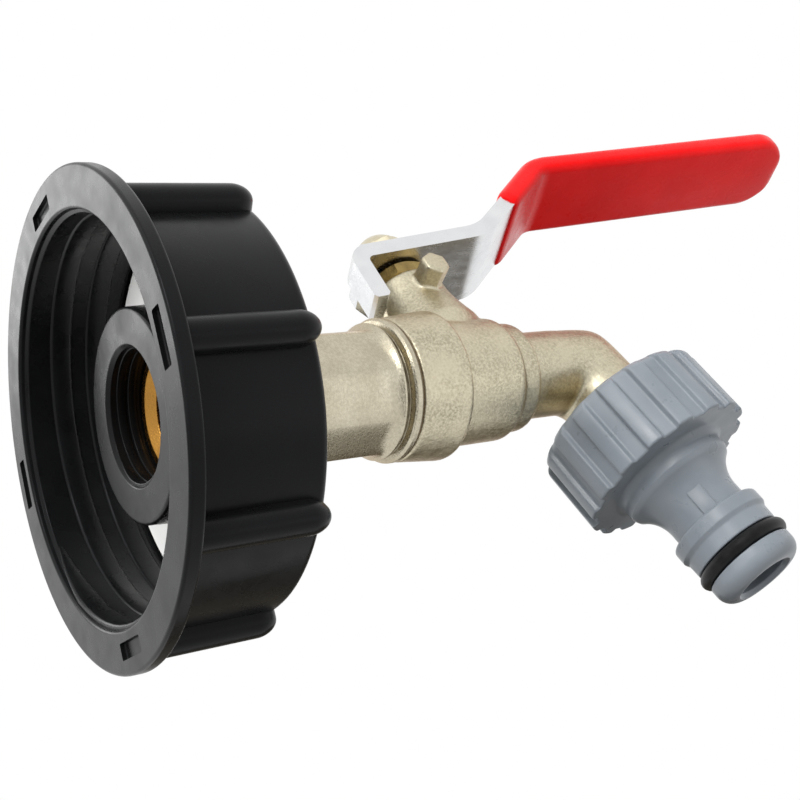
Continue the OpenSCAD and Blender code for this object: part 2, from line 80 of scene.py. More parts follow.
# %% Rounded profiles
def soften(corners, parts=5):
    points = []
    count = len(corners)
    for i, (r, x, fillet) in enumerate(corners):
        here = Vector((r, x))
        if fillet <= 0:
            points.append(here)
            continue
        before = (Vector(corners[i - 1][:2]) - here)
        after = (Vector(corners[(i + 1) % count][:2]) - here)
        a, b = before.normalized(), after.normalized()
        half = a.angle(b) / 2
        run = min(fillet / math.tan(half), 0.46 * before.length, 0.46 * after.length)
        radius = run * math.tan(half)
        centre = here + (a + b).normalized() * (radius / math.sin(half))
        start, end = here + a * run, here + b * run
        guard = min(0.25 * fillet, 0.02 * before.length, 0.02 * after.length)
        points.append(start + a * guard)
        turn = (start - centre).angle_signed(end - centre)
        for k in range(parts + 1):
            arm = (start - centre).copy()
            arm.rotate(Matrix.Rotation(-turn * k / parts, 2))
            points.append(centre + arm)
        points.append(end + b * guard)
    return points


print("a square with soft corners has", len(soften([(1, 0, .1), (2, 0, .1), (2, 1, .1), (1, 1, .1)])), "points")

# %% [markdown]
# Most of this object was turned on a lathe or moulded round an axis, so its main tool is a
# lathe too. `lathe` sweeps a closed profile round the X axis. A rule may move each point by its
# angle, which is how the octagon of the connector and the ribs of the collar are made.

# %% The lathe
def lathe(bm, profile, steps=160, rule=None, angles=None):
    angles = angles or [2 * math.pi * k / steps for k in range(steps)]
    steps = len(angles)
    rings = []
    for p in profile:
        ring = []
        for angle in angles:
            r, x = rule(p[0], p[1], angle) if rule else (p[0], p[1])
            ring.append(bm.verts.new((x, r * math.cos(angle), r * math.sin(angle))))
        rings.append(ring)
    for i, ring in enumerate(rings):
        j = (i + 1) % len(rings)
        other = rings[j]
        if profile[i][0] < 1e-6 and profile[j][0] < 1e-6:
            continue
        for k in range(steps):
            n = (k + 1) % steps
            bm.faces.new((ring[k], ring[n], other[n], other[k]))


def make(name, bm, finish, place=None, sharp=34):
    bmesh.ops.remove_doubles(bm, verts=bm.verts, dist=1e-4)
    bmesh.ops.dissolve_degenerate(bm, edges=bm.edges, dist=1e-5)
    bmesh.ops.recalc_face_normals(bm, faces=bm.faces)
    mesh = bpy.data.meshes.new(name)
    bm.to_mesh(mesh)
    bm.free()
    if place:
        mesh.transform(place)
    mesh.transform(Matrix.Scale(MM, 4))
    return from_mesh(name, mesh, finish, sharp)


def from_mesh(name, mesh, finish, sharp=34):
    mesh.materials.clear()
    mesh.materials.append(finish.material)
    mesh.polygons.foreach_set("material_index", [0] * len(mesh.polygons))
    mesh.polygons.foreach_set("use_smooth", [True] * len(mesh.polygons))
    mesh.set_sharp_from_angle(angle=math.radians(sharp))
    obj = bpy.data.objects.new(name, mesh)
    bpy.context.scene.collection.objects.link(obj)
    print(name, len(mesh.polygons), "faces")
    return obj


# %% [markdown]
# ## The camera
# The photograph was taken from below and in front of the cap, with the adapter turned a little
# on its side. The camera was fitted to the round edges of the cap, so its place is a set of
# plain numbers: where it stands, which way its right and up sides point, and its lens.

# %% Set the camera
right = Vector((0.8334, -0.3429, -0.4336))
up = Vector((0.0913, -0.6882, 0.7198))
right.normalize()
up = (up - right * up.dot(right)).normalized()
back = right.cross(up)
lens = bpy.data.cameras.new("camera")
lens.sensor_width = 36
lens.lens = 36 * 1255.5 / 800
lens.clip_start = 0.005
lens.clip_end = 20
camera = bpy.data.objects.new("camera", lens)
turn = Matrix((right, up, back)).transposed().to_4x4()
camera.matrix_world = Matrix.Translation(Vector((-61.2, -135.3, -117.2)) * MM) @ turn
bpy.context.scene.collection.objects.link(camera)
bpy.context.scene.camera = camera
print("lens", round(lens.lens, 1), "mm, looking along", [round(-c, 2) for c in back])

# %% [markdown]
# ## Light
# The photograph is a white light tent: a pure white ground and broad, soft light from almost
# everywhere. The world is white to the eye and to reflections, and dimmer where it lights the
# surfaces, and broad soft lamps light them from above. Those lamps and
# the floor are hidden from reflections; four small lamps are not, and make the glints.

# %% The white ground
world = bpy.data.worlds.new("light_tent")
bpy.context.scene.world = world
world.use_nodes = True
tree = world.node_tree
tree.nodes.clear()
path = tree.nodes.new("ShaderNodeLightPath")
seen = tree.nodes.new("ShaderNodeMath")
seen.operation = "MAXIMUM"
tree.links.new(path.outputs["Is Camera Ray"], seen.inputs[0])
seen_glossy = tree.nodes.new("ShaderNodeMath")
seen_glossy.operation = "MAXIMUM"
tree.links.new(path.outputs["Is Glossy Ray"], seen_glossy.inputs[0])
tree.links.new(path.outputs["Is Transmission Ray"], seen_glossy.inputs[1])
tree.links.new(seen_glossy.outputs[0], seen.inputs[1])
fill = tree.nodes.new("ShaderNodeBackground")
fill.inputs["Color"].default_value = (1, 1, 1, 1)
fill.inputs["Strength"].default_value = 0.30
white = tree.nodes.new("ShaderNodeBackground")
white.inputs["Color"].default_value = (1, 1, 1, 1)
white.inputs["Strength"].default_value = 1.0
mix = tree.nodes.new("ShaderNodeMixShader")
tree.links.new(seen.outputs[0], mix.inputs[0])
tree.links.new(fill.outputs[0], mix.inputs[1])
tree.links.new(white.outputs[0], mix.inputs[2])
out = tree.nodes.new("ShaderNodeOutputWorld")
tree.links.new(mix.outputs[0], out.inputs["Surface"])
bpy.context.scene.view_settings.view_transform = "Standard"


# %% The lamps
def lamp(name, direction, distance, size, power, mirrored=False):
    light = bpy.data.lights.new(name, "AREA")
    light.size = size
    light.energy = power
    obj = bpy.data.objects.new(name, light)
    target = Vector((70, 0, 0)) * MM
    spot = Vector(direction).normalized() * distance
    obj.location = target + spot
    obj.rotation_euler = spot.to_track_quat("Z", "Y").to_euler()
    obj.visible_glossy = mirrored
    bpy.context.scene.collection.objects.link(obj)
    return obj


def seen_from_camera(r, u, b):
    return right * r + up * u + back * b


lamp("key", seen_from_camera(-0.45, 0.9, 0.45), 0.9, 1.2, 12.5)
lamp("side", seen_from_camera(0.9, 0.05, 0.42), 1.0, 0.9, 1.7)
lamp("low", seen_from_camera(-0.2, -0.8, 0.7), 1.0, 0.9, 0.4)
lamp("under_grip", (160, -60, -60), 0.181, 0.15, 0.085)
lamp("mouth", seen_from_camera(-0.75, 0.1, 0.75), 0.6, 0.4, 2.2)
lamp("glint", seen_from_camera(0.9, 0.0, 0.45), 1.0, 0.35, 0.15, mirrored=True)
lamp("neck_glint", seen_from_camera(-0.32, 0.62, 0.72), 0.9, 0.2, 1.6, mirrored=True)
lamp("upper_glint", seen_from_camera(-0.51, 0.745, 0.43), 0.9, 0.5, 0.5, mirrored=True)
lamp("sheen", (-180, 165, 262), 0.358, 0.14, 0.13, mirrored=True)

# %% [markdown]
# The floor is a plain pale sheet well under the adapter, below the camera's own height. It
# can't be seen in the photograph's view, and it catches the shadow in the others. The camera
# sees it partly as a glowing sheet, so that it stays pale far from the lamps.

# %% The floor
bm = bmesh.new()
for x, y in ((-4, -4), (4, -4), (4, 4), (-4, 4)):
    bm.verts.new((x, y, -0.2))
bm.faces.new(bm.verts)
floor_mesh = bpy.data.meshes.new("floor")
bm.to_mesh(floor_mesh)
bm.free()
floor = bpy.data.objects.new("floor", floor_mesh)
bpy.context.scene.collection.objects.link(floor)
pale = bpy.data.materials.new("pale_floor")
pale.use_nodes = True
pale.node_tree.nodes["Principled BSDF"].inputs["Base Color"].default_value = (0.83, 0.83, 0.83, 1)
pale.node_tree.nodes["Principled BSDF"].inputs["Roughness"].default_value = 0.8
tree = pale.node_tree
glow, blend = tree.nodes.new("ShaderNodeEmission"), tree.nodes.new("ShaderNodeMixShader")
glow.inputs["Strength"].default_value = 1.0
glow.inputs["Color"].default_value = (1, 1, 1, 1)
eye, part = tree.nodes.new("ShaderNodeLightPath"), tree.nodes.new("ShaderNodeMath")
part.operation = "MULTIPLY"
part.inputs[1].default_value = 0.6
tree.links.new(eye.outputs["Is Camera Ray"], part.inputs[0])
tree.links.new(part.outputs[0], blend.inputs[0])
tree.links.new(tree.nodes["Principled BSDF"].outputs[0], blend.inputs[1])
tree.links.new(glow.outputs[0], blend.inputs[2])
tree.links.new(blend.outputs[0], tree.nodes["Material Output"].inputs["Surface"])
floor_mesh.materials.append(pale)
floor.visible_glossy = floor.visible_diffuse = False


# %% [markdown]
# Photographers of metal hang black cards just out of sight, so that each round wall gets a dark
# band beside its bright one. Two such cards stand here. Only reflections see them.

# %% Black cards
black = bpy.data.materials.new("black_card")
black.use_nodes = True
black.node_tree.nodes["Principled BSDF"].inputs["Base Color"].default_value = (0.13, 0.115, 0.09, 1)
black.node_tree.nodes["Principled BSDF"].inputs["Roughness"].default_value = 1.0
black.node_tree.nodes["Principled BSDF"].inputs["Specular IOR Level"].default_value = 0.0


def card(name, direction, distance, wide, high):
    mesh = bpy.data.meshes.new(name)
    mesh.from_pydata([(-wide / 2, -high / 2, 0), (wide / 2, -high / 2, 0), (wide / 2, high / 2, 0),
                      (-wide / 2, high / 2, 0)], [], [(0, 1, 2, 3)])
    mesh.materials.append(black)
    obj = bpy.data.objects.new(name, mesh)
    spot = Vector(direction).normalized() * distance
    obj.location = Vector((70, 0, 0)) * MM + spot
    obj.rotation_euler = spot.to_track_quat("Z", "Y").to_euler()
    obj.visible_camera = obj.visible_diffuse = obj.visible_shadow = False
    bpy.context.scene.collection.objects.link(obj)
    return obj


cards = [card("low_card", seen_from_camera(0.25, -0.75, -0.6), 0.38, 0.34, 0.34),
         card("left_card", seen_from_camera(-0.9, -0.1, 0.35), 0.5, 0.10, 0.5)]
print("cards:", [c.name for c in cards])

# %% [markdown]
# ## Finishes
# Each finish starts from the same small set of nodes: noise on Object coordinates, so that a
# pattern stays with its piece, a ramp for its colour or roughness, and a bump for its grain.
# `Finish` keeps the recipes short. A scale is given in the size of one feature, in millimetres.

# %% A short way to write a material
class Finish:
    def __init__(self, name, roughness, metallic=0.0, specular=0.5, facing=None):
        self.material = bpy.data.materials.new(name)
        self.material.use_nodes = True
        self.tree = self.material.node_tree
        self.shader = self.tree.nodes["Principled BSDF"]
        self.shader.inputs["Roughness"].default_value = roughness
        self.shader.inputs["Metallic"].default_value = metallic
        self.shader.inputs["Specular IOR Level"].default_value = specular
        if facing:
            self.shader.inputs["Specular Tint"].default_value = (*facing, 1)
        self.coords = self.tree.nodes.new("ShaderNodeTexCoord").outputs["Object"]
        self.height = None

    def noise(self, feature, detail=3.0, stretch=(1, 1, 1), rough=0.5):
        mapping = self.tree.nodes.new("ShaderNodeMapping")
        mapping.inputs["Scale"].default_value = stretch
        self.tree.links.new(self.coords, mapping.inputs["Vector"])
        node = self.tree.nodes.new("ShaderNodeTexNoise")
        node.inputs["Scale"].default_value = 1 / (feature * MM)
        node.inputs["Detail"].default_value = detail
        node.inputs["Roughness"].default_value = rough
        self.tree.links.new(mapping.outputs[0], node.inputs["Vector"])
        return node.outputs["Fac"]

    def ramp(self, value, stops):
        node = self.tree.nodes.new("ShaderNodeValToRGB")
        ramp = node.color_ramp
        ramp.elements[0].position, ramp.elements[0].color = stops[0][0], (*stops[0][1], 1)
        ramp.elements[1].position, ramp.elements[1].color = stops[-1][0], (*stops[-1][1], 1)
        for place, colour in stops[1:-1]:
            ramp.elements.new(place).color = (*colour, 1)
        self.tree.links.new(value, node.inputs[0])
        return node.outputs["Color"]

    def mix(self, factor, a, b):
        node = self.tree.nodes.new("ShaderNodeMix")
        node.data_type = "RGBA"
        self.tree.links.new(factor, node.inputs["Factor"])
        for value, socket in ((a, node.inputs["A"]), (b, node.inputs["B"])):
            if isinstance(value, tuple):
                socket.default_value = (*value, 1)
            else:
                self.tree.links.new(value, socket)
        return node.outputs["Result"]

    def span(self, value, low, high, to_low, to_high):
        node = self.tree.nodes.new("ShaderNodeMapRange")
        for socket, number in zip(("From Min", "From Max", "To Min", "To Max"), (low, high, to_low, to_high)):
            node.inputs[socket].default_value = number
        self.tree.links.new(value, node.inputs["Value"])
        return node.outputs["Result"]

    def both(self, one, two):
        node = self.tree.nodes.new("ShaderNodeMath")
        node.operation = "MULTIPLY"
        self.tree.links.new(one, node.inputs[0])
        self.tree.links.new(two, node.inputs[1])
        return node.outputs[0]

    def along(self, axis):
        node = self.tree.nodes.new("ShaderNodeSeparateXYZ")
        self.tree.links.new(self.coords, node.inputs[0])
        return node.outputs[axis]

    def colour(self, value):
        self.tree.links.new(value, self.shader.inputs["Base Color"])
        return self

    def roughness(self, value):
        self.tree.links.new(value, self.shader.inputs["Roughness"])
        return self

    def metal(self, value):
        self.tree.links.new(value, self.shader.inputs["Metallic"])
        return self

    def bump(self, value, depth):
        node = self.tree.nodes.new("ShaderNodeBump")
        node.inputs["Strength"].default_value = 1.0
        node.inputs["Distance"].default_value = depth * MM
        self.tree.links.new(value, node.inputs["Height"])
        if self.height:
            self.tree.links.new(self.height, node.inputs["Normal"])
        self.height = node.outputs["Normal"]
        self.tree.links.new(self.height, self.shader.inputs["Normal"])
        return self


# %% [markdown]
# **Black moulded plastic.** The cap is not pure black: it has a satin skin with slow waves from
# the mould, a very fine grain and a little pale dust. The waves bend the long highlights of the
# drum, the grain keeps them soft.

# %% Cap plastic
cap_black = Finish("black_moulded_plastic", 0.33, specular=0.55, facing=(0.2, 0.2, 0.21))
cap_black.colour(cap_black.mix(
    cap_black.span(cap_black.noise(1.6, 6, rough=0.75), 0.66, 0.80, 0.0, 1.0),
    cap_black.ramp(cap_black.noise(14, 2), [(0.35, (0.0040, 0.0042, 0.0044)), (0.65, (0.0060, 0.0062, 0.0065))]),
    (0.013, 0.013, 0.014)))
cap_black.roughness(cap_black.span(cap_black.noise(5, 4), 0.3, 0.7, 0.22, 0.36))
cap_black.bump(cap_black.noise(9, 1), 0.05)
cap_black.bump(cap_black.noise(0.35, 3), 0.006)

# %% [markdown]
# **White seal.** A flat ring of soft white rubber, clean and even, with a hint of mould skin.

# %% Seal
seal_white = Finish("white_seal_rubber", 0.55)
seal_white.colour(seal_white.ramp(seal_white.noise(4, 3), [(0.3, (0.84, 0.84, 0.82)), (0.7, (0.9, 0.9, 0.88))]))
seal_white.bump(seal_white.noise(0.6, 3), 0.01)

# %% [markdown]
# ** Plated casting.** Sand-cast brass under a thin nickel plate keeps the grain of the sand. It
# is pale and warm, a little pink where it is seen edge on, and slightly blotchy. The edge tint
# is set on the shader itself, where it acts as the metal's colour at a grazing angle. A thin
# band of painted shade darkens each ring just behind a step of the body, on its lower part.

# %% Cast nickel
cast_nickel = Finish("cast_nickel_plate", 0.36, metallic=1.0)
skin = cast_nickel.mix(
    cast_nickel.span(cast_nickel.noise(0.45, 4, rough=0.7), 0.38, 0.62, 0.0, 1.0),
    cast_nickel.ramp(cast_nickel.noise(7, 3), [(0.32, (0.37, 0.33, 0.232)), (0.68, (0.585, 0.53, 0.39))]),
    (0.66, 0.61, 0.46))
along_x, below_neck = cast_nickel.along("X"), cast_nickel.span(cast_nickel.along("Z"), 10 * MM, 12 * MM, 0.65, 0.0)
# painted shade: a dark band on each ring just behind a step, only on the lower part of the body
for step in (61.9, 74.65, 78.8):
    step_shade = cast_nickel.both(cast_nickel.span(along_x, (step - 0.1) * MM, step * MM, 0.0, 1.0),
                              cast_nickel.span(along_x, (step + 0.3) * MM, (step + 0.7) * MM, 1.0, 0.0))
    skin = cast_nickel.mix(cast_nickel.both(step_shade, below_neck), skin, (0.16, 0.135, 0.09))
cast_nickel.colour(skin)
cast_nickel.shader.inputs["Specular Tint"].default_value = (0.86, 0.74, 0.68, 1)
cast_nickel.roughness(cast_nickel.span(cast_nickel.noise(1.2, 4), 0.3, 0.7, 0.30, 0.46))
cast_nickel.bump(cast_nickel.noise(0.9, 4, rough=0.6), 0.06)
cast_nickel.bump(cast_nickel.noise(0.33, 3), 0.04)

# %% [markdown]
# ** Machined nickel.** The inlet connector was turned from bar, so its grain runs round it in
# very fine lines. The plate is thin at its last sharp edge: bare brass shows on top as a gold
# line against the casting, and lower down the edge is painted dark as shade. The groove beside
# it is painted dark as shade too. The male end inside the cap, threaded after plating, is bare
# brass coloured darker as painted shade inside the hub.

# %% Turned nickel
turned_nickel = Finish("turned_nickel_plate", 0.3, metallic=1.0)
along_x = turned_nickel.along("X")
# joint edge mask: the edge is bare brass gold on top and painted dark as shade lower down
joint_edge = turned_nickel.span(along_x, 51.65 * MM, 51.8 * MM, 0.0, 1.0)
# male end mask: bare brass, coloured darker as painted shade inside the hub
brass_end_in_shade = turned_nickel.span(along_x, 20.0 * MM, 20.5 * MM, 1.0, 0.0)
plate = turned_nickel.ramp(turned_nickel.noise(6, 4), [(0.3, (0.52, 0.47, 0.355)), (0.7, (0.65, 0.60, 0.47))])
grain = turned_nickel.span(turned_nickel.noise(0.5, 4, rough=0.7), 0.40, 0.62, 0.45, 0.0)
plate = turned_nickel.mix(grain, plate, (0.36, 0.325, 0.24))
# painted shade: the groove is darkened as if in shadow, with a slow mottle
groove = turned_nickel.span(turned_nickel.noise(1.5, 3), 0.35, 0.65, 0.75, 1.0)
in_groove = turned_nickel.both(turned_nickel.span(along_x, 49.5 * MM, 49.7 * MM, 0.0, 1.0),
                               turned_nickel.span(along_x, 50.2 * MM, 50.4 * MM, 1.0, 0.0))
plate = turned_nickel.mix(turned_nickel.both(in_groove, groove), plate, (0.09, 0.075, 0.05))
# the top of the joint edge is gold brass, the rest of it is painted shade
upper = turned_nickel.span(turned_nickel.along("Z"), 4 * MM, 8 * MM, 0.0, 1.0)
joint_brass_and_shade = turned_nickel.mix(upper, (0.16, 0.13, 0.09), (0.66, 0.42, 0.12))
plate_with_joint_edge = turned_nickel.mix(joint_edge, plate, joint_brass_and_shade)
turned_nickel.colour(turned_nickel.mix(brass_end_in_shade, plate_with_joint_edge, (0.42, 0.21, 0.045)))
turned_nickel.shader.inputs["Specular Tint"].default_value = (0.9, 0.80, 0.72, 1)
turned_nickel.roughness(turned_nickel.span(turned_nickel.noise(0.8, 4, stretch=(4, 1, 1)), 0.3, 0.7, 0.22, 0.38))
turned_nickel.bump(turned_nickel.noise(0.4, 3, stretch=(1.5, 1, 1)), 0.045)

# %% [markdown]
# ** Brass, steel and yellow zinc.** Small hardware: machined brass on the gland, coloured dark as
# painted shade under the lever, bright zinc on the lever, with a faint brushed grain along the
# strip, and yellow zinc on the nut.

# %% Small hardware
brass_dark_for_shade = Finish("machined_brass_dark_for_shade", 0.24, metallic=1.0)
# painted shade: the brass is coloured dark for the shadow under the lever
brass_dark_for_shade.colour(brass_dark_for_shade.ramp(brass_dark_for_shade.noise(2.5, 4), [(0.3, (0.20, 0.135, 0.042)), (0.7, (0.38, 0.27, 0.095))]))
brass_dark_for_shade.bump(brass_dark_for_shade.noise(0.4, 3), 0.01)

zinc = Finish("bright_zinc_steel", 0.25, metallic=1.0)
zinc.colour(zinc.ramp(zinc.noise(5, 4), [(0.3, (0.72, 0.73, 0.745)), (0.7, (0.80, 0.805, 0.81))]))
zinc.roughness(zinc.span(zinc.noise(1.5, 4, stretch=(0.4, 1, 1)), 0.25, 0.75, 0.20, 0.30))
zinc.bump(zinc.noise(0.5, 3, stretch=(0.3, 1, 1)), 0.0015)
zinc.bump(zinc.noise(6, 2), 0.02)

yellow_zinc = Finish("yellow_zinc_steel", 0.27, metallic=1.0)
yellow_zinc.colour(yellow_zinc.ramp(yellow_zinc.noise(2, 4), [(0.3, (0.60, 0.53, 0.37)), (0.7, (0.72, 0.66, 0.50))]))
yellow_zinc.bump(yellow_zinc.noise(0.6, 3), 0.01)

# %% [markdown]
# **Red dipped grip.** The lever was dipped in liquid vinyl. The skin is glossy, bright red, and
# thin enough to follow the strip with soft edges, with slow runs and a few scuffs.

# %% Grip vinyl
grip_red = Finish("red_dipped_vinyl", 0.3, specular=0.4, facing=(0.08, 0.08, 0.08))
grip_red.colour(grip_red.mix(
    grip_red.span(grip_red.noise(2.2, 5, rough=0.7), 0.62, 0.8, 0.0, 0.6),
    grip_red.ramp(grip_red.noise(16, 2), [(0.35, (0.72, 0.006, 0.007)), (0.65, (0.82, 0.010, 0.011))]),
    (0.62, 0.005, 0.006)))
grip_red.roughness(grip_red.span(grip_red.noise(3, 4), 0.3, 0.7, 0.22, 0.36))
grip_red.bump(grip_red.noise(7, 1), 0.05)
grip_red.bump(grip_red.noise(0.5, 3), 0.006)

# %% [markdown]
# **Grey plastic and black rubber.** The hose connector is a blue grey moulding, duller than the
# cap, and its sealing ring is soft black rubber with a slight bloom.

# %% Connector plastic and rubber
grey = Finish("blue_grey_plastic", 0.3, specular=0.6, facing=(0.8, 0.8, 0.8))
grey.colour(grey.ramp(grey.noise(9, 4), [(0.35, (0.174, 0.197, 0.222)), (0.65, (0.205, 0.230, 0.257))]))
grey.roughness(grey.span(grey.noise(3, 4), 0.3, 0.7, 0.26, 0.38))
grey.bump(grey.noise(6, 1), 0.04)
grey.bump(grey.noise(0.3, 3), 0.006)

rubber = Finish("black_ring_rubber", 0.42, specular=0.4, facing=(0.25, 0.25, 0.25))
rubber.colour(rubber.ramp(rubber.noise(1.5, 4), [(0.35, (0.007, 0.007, 0.007)), (0.7, (0.013, 0.013, 0.013))]))
rubber.bump(rubber.noise(0.5, 3), 0.008)

waxy = Finish("white_seat_plastic", 0.42)
waxy.colour(waxy.ramp(waxy.noise(3, 3), [(0.3, (0.80, 0.80, 0.77)), (0.7, (0.88, 0.88, 0.85))]))
waxy.bump(waxy.noise(0.8, 3), 0.006)

ball_plate = Finish("polished_ball_plate", 0.12, metallic=1.0)
ball_plate.colour(ball_plate.ramp(ball_plate.noise(4, 3), [(0.3, (0.68, 0.68, 0.69)), (0.7, (0.76, 0.76, 0.77))]))
ball_plate.bump(ball_plate.noise(0.5, 2), 0.002)
print("finishes:", len([m for m in bpy.data.materials if m.use_nodes]))

# %% [markdown]
# ## Geometry Nodes for what repeats
# The cap has eight grip ribs and the nipple's neck has two low pads.
# One of each is made by hand, and a node tree sets copies of it round the X axis: points, an
# instance on each, a turn by its index, then Realize Instances, because only real geometry is
# exported.

# %% Tree: copies round an axis
def sockets(tree, *inputs):
    for label, kind in inputs:
        tree.interface.new_socket(label, in_out="INPUT", socket_type="NodeSocket" + kind)
    tree.interface.new_socket("Geometry", in_out="OUTPUT", socket_type="NodeSocketGeometry")


def round_the_axis():
    tree = bpy.data.node_groups.new("copies_round_the_axis", "GeometryNodeTree")
    sockets(tree, ("Geometry", "Geometry"), ("Count", "Int"), ("First angle", "Float"), ("Finish", "Material"))
    new, link = tree.nodes.new, tree.links.new
    given, result = new("NodeGroupInput"), new("NodeGroupOutput")
    points, place = new("GeometryNodePoints"), new("GeometryNodeInstanceOnPoints")
    link(given.outputs["Count"], points.inputs["Count"])
    index, share = new("GeometryNodeInputIndex"), new("ShaderNodeMath")
    share.operation = "DIVIDE"
    link(index.outputs[0], share.inputs[0])
    link(given.outputs["Count"], share.inputs[1])
    angle = new("ShaderNodeMath")
    angle.operation = "MULTIPLY_ADD"
    angle.inputs[1].default_value = 2 * math.pi
    link(share.outputs[0], angle.inputs[0])
    link(given.outputs["First angle"], angle.inputs[2])
    turn = new("ShaderNodeCombineXYZ")
    link(angle.outputs[0], turn.inputs["X"])
    link(points.outputs[0], place.inputs["Points"])
    link(given.outputs["Geometry"], place.inputs["Instance"])
    link(turn.outputs[0], place.inputs["Rotation"])
    finish_tree(tree, given, place.outputs[0], result)
    return tree


def finish_tree(tree, given, geometry, result):
    real, dress = tree.nodes.new("GeometryNodeRealizeInstances"), tree.nodes.new("GeometryNodeSetMaterial")
    tree.links.new(geometry, real.inputs[0])
    tree.links.new(real.outputs[0], dress.inputs["Geometry"])
    tree.links.new(given.outputs["Finish"], dress.inputs["Material"])
    tree.links.new(dress.outputs[0], result.inputs[0])


# %% [markdown]
# Both female threads are ridges that wind along a bore. The second tree draws a helix, gives it
# a trapezoid section with rounded crests, and lets it run out into the wall at both ends, as a
# moulded thread does. Its inputs are the words a machinist would use. The curve's normals are
# set to Z up, which keeps the section upright all the way along.

# %% Tree: a thread ridge
def thread_ridge():
    tree = bpy.data.node_groups.new("thread_ridge", "GeometryNodeTree")
    sizes = ("Turns", "Root radius", "Pitch", "Depth", "Crest width", "Root width", "Rounding", "Sink", "Run out")
    sockets(tree, *[(label, "Float") for label in sizes], ("Finish", "Material"))
    new, link = tree.nodes.new, tree.links.new
    given, result = new("NodeGroupInput"), new("NodeGroupOutput")

    def number(operation, *values):
        node = new("ShaderNodeMath")
        node.operation = operation
        for socket, value in zip(node.inputs, values):
            if isinstance(value, (int, float)):
                socket.default_value = value
            else:
                link(value, socket)
        return node.outputs[0]

    helix = new("GeometryNodeCurveSpiral")
    helix.inputs["Resolution"].default_value = 72
    link(given.outputs["Turns"], helix.inputs["Rotations"])
    link(given.outputs["Root radius"], helix.inputs["Start Radius"])
    link(given.outputs["Root radius"], helix.inputs["End Radius"])
    link(number("MULTIPLY", given.outputs["Turns"], given.outputs["Pitch"]), helix.inputs["Height"])
    level = new("GeometryNodeSetCurveNormal")
    level.mode = "Z_UP"
    link(helix.outputs[0], level.inputs["Curve"])

    section = new("GeometryNodeCurvePrimitiveQuadrilateral")
    section.mode = "TRAPEZOID"
    link(given.outputs["Crest width"], section.inputs["Top Width"])
    link(given.outputs["Root width"], section.inputs["Bottom Width"])
    section.inputs["Offset"].default_value = 0
    height = number("ADD", given.outputs["Depth"], given.outputs["Sink"])
    link(height, section.inputs["Height"])
    soft = new("GeometryNodeFilletCurve")
    soft.mode = "POLY"
    soft.inputs["Count"].default_value = 3
    soft.inputs["Limit Radius"].default_value = True
    link(section.outputs[0], soft.inputs["Curve"])
    link(given.outputs["Rounding"], soft.inputs["Radius"])
    lay = new("GeometryNodeTransform")
    lay.inputs["Rotation"].default_value = (0, 0, math.pi / 2)
    shift = new("ShaderNodeCombineXYZ")
    link(number("SUBTRACT", given.outputs["Sink"], number("MULTIPLY", height, 0.5)), shift.inputs["X"])
    link(soft.outputs[0], lay.inputs["Geometry"])
    link(shift.outputs[0], lay.inputs["Translation"])

    along = new("GeometryNodeSplineParameter").outputs["Factor"]
    near_end = number("MINIMUM", along, number("SUBTRACT", 1.0, along))
    rise = number("DIVIDE", near_end, given.outputs["Run out"])
    scale = number("MINIMUM", number("MAXIMUM", rise, 0.04), 1.0)
    sweep = new("GeometryNodeCurveToMesh")
    sweep.inputs["Fill Caps"].default_value = True
    link(level.outputs[0], sweep.inputs["Curve"])
    link(lay.outputs[0], sweep.inputs["Profile Curve"])
    link(number("POWER", scale, 0.6), sweep.inputs["Scale"])
    finish_tree(tree, given, sweep.outputs[0], result)
    return tree


# %% [markdown]
# A tree needs an object to work on. `grow` puts it on a carrier, sets each input by its
# identifier, takes the result as a plain mesh and throws the carrier away.

# %% Growing a piece
AROUND = round_the_axis()
RIDGE = thread_ridge()


def grow(name, tree, settings, finish, seed_mesh=None, place=None, sharp=34):
    carrier = bpy.data.objects.new(name + "_carrier", seed_mesh or bpy.data.meshes.new(name + "_seed"))
    bpy.context.scene.collection.objects.link(carrier)
    modifier = carrier.modifiers.new("tree", "NODES")
    modifier.node_group = tree
    for item in tree.interface.items_tree:
        if item.in_out == "INPUT" and item.name in settings:
            modifier[item.identifier] = settings[item.name]
        if item.in_out == "INPUT" and item.name == "Finish":
            modifier[item.identifier] = finish.material
    depsgraph = bpy.context.evaluated_depsgraph_get()
    grown = bpy.data.meshes.new_from_object(carrier.evaluated_get(depsgraph))
    carrier.modifiers.clear()
    bpy.data.objects.remove(carrier)
    bm = bmesh.new()
    bm.from_mesh(grown)
    return make(name, bm, finish, place, sharp)


def solid_bar(profile, steps=40, shift=(0, 0, 0)):
    bm = bmesh.new()
    lathe(bm, profile, steps)
    bmesh.ops.remove_doubles(bm, verts=bm.verts, dist=1e-4)
    bmesh.ops.translate(bm, vec=shift, verts=bm.verts)
    mesh = bpy.data.meshes.new("bar")
    bm.to_mesh(mesh)
    bm.free()
    return mesh


def soft_block(low, high, edge, parts=3):
    bm = bmesh.new()
    bmesh.ops.create_cube(bm, size=1)
    for v in bm.verts:
        for i in range(3):
            v.co[i] = high[i] if v.co[i] > 0 else low[i]
    bmesh.ops.bevel(bm, geom=bm.edges, offset=edge, segments=parts, profile=0.5, affect="EDGES")
    mesh = bpy.data.meshes.new("block")
    bm.to_mesh(mesh)
    bm.free()
    return mesh


print("trees:", [t.name for t in bpy.data.node_groups])

# %% [markdown]
# ## The cap
# The cap is one moulding: a cup that screws on the tank, with a flange at its mouth and a hub in
# its middle for the valve. Its whole section is drawn once, with a small radius on every corner,
# and turned. The 60 mm thread and the half inch thread in the hub are added as ridges.

# %% Cap sizes
CAP_LENGTH = 22.5
DRUM_RADIUS = 32.75
FLANGE_RADIUS = 37.29
FLANGE = 2.4
FIRST_RIB = math.radians(24.5)
TURN_TO_X = Matrix(((0, 0, 1, 0), (1, 0, 0, 0), (0, 1, 0, 0), (0, 0, 0, 1)))

